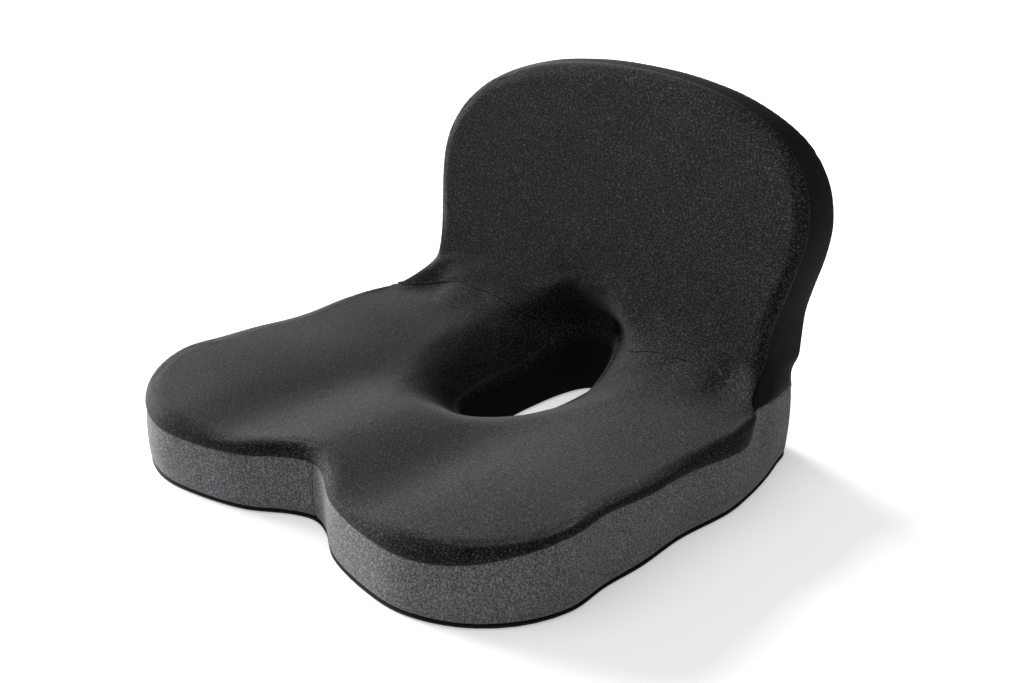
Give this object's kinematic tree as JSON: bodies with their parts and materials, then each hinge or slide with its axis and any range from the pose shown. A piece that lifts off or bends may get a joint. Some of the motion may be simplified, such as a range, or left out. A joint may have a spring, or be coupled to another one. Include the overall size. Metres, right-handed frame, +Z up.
{
  "type": "seat cushion",
  "caption": "One-piece contoured foam seat cushion with a low back rest, a tail-bone slot, a two-tone cloth cover and a zip across the rear.",
  "frame": {"origin": "on the floor under the middle of the cushion's box", "axes": "+Z up, the front edge of the seat towards -Y, the back rest towards +Y, +X to the left hand of a person facing the cushion's front"},
  "size_m": [0.4496, 0.4449, 0.295],
  "materials": {
    "knit": "matt velour knit, charcoal",
    "heather": "heather grey woven cloth",
    "boxing": "smooth black knit",
    "foam": "moulded foam",
    "base_cloth": "black woven anti-slip cloth",
    "silicone": "black silicone",
    "zip_tape": "herringbone tape",
    "zip_coil": "nylon coil",
    "zip_metal": "gunmetal",
    "label": "white satin ribbon"
  },
  "bodies": {
    "cushion": {"foam_core": "foam", "seat_top_panel": "knit", "back_front_panel": "knit", "slot_lining": "knit", "side_band_left": "heather", "side_band_right": "heather", "back_side_band": "boxing", "back_rear_panel": "boxing", "rear_band_upper": "heather", "rear_band_lower": "heather", "base_panel": "base_cloth", "base_binding": "boxing", "grip_dots": "silicone", "zip_tape_upper": "zip_tape", "zip_tape_lower": "zip_tape", "zip_coil_upper": "zip_coil", "zip_coil_lower": "zip_coil", "zip_stop_left": "zip_metal", "zip_stop_right": "zip_metal", "care_label": "label"},
    "zip_slider": {"zip_slider": "zip_metal"},
    "zip_pull": {"zip_pull": "zip_metal"}
  },
  "joints": [
    {"name": "zip_slide", "type": "slide", "parent": "cushion", "child": "zip_slider", "axis": [-1, 0, 0], "range_m": [0, 0.27]},
    {"name": "zip_pull_swing", "type": "hinge", "parent": "zip_slider", "child": "zip_pull", "pos_m": [0.1355, 0.1937, 0.042], "axis": [0, 0, 1], "range_deg": [-175, 0]}
  ]
}
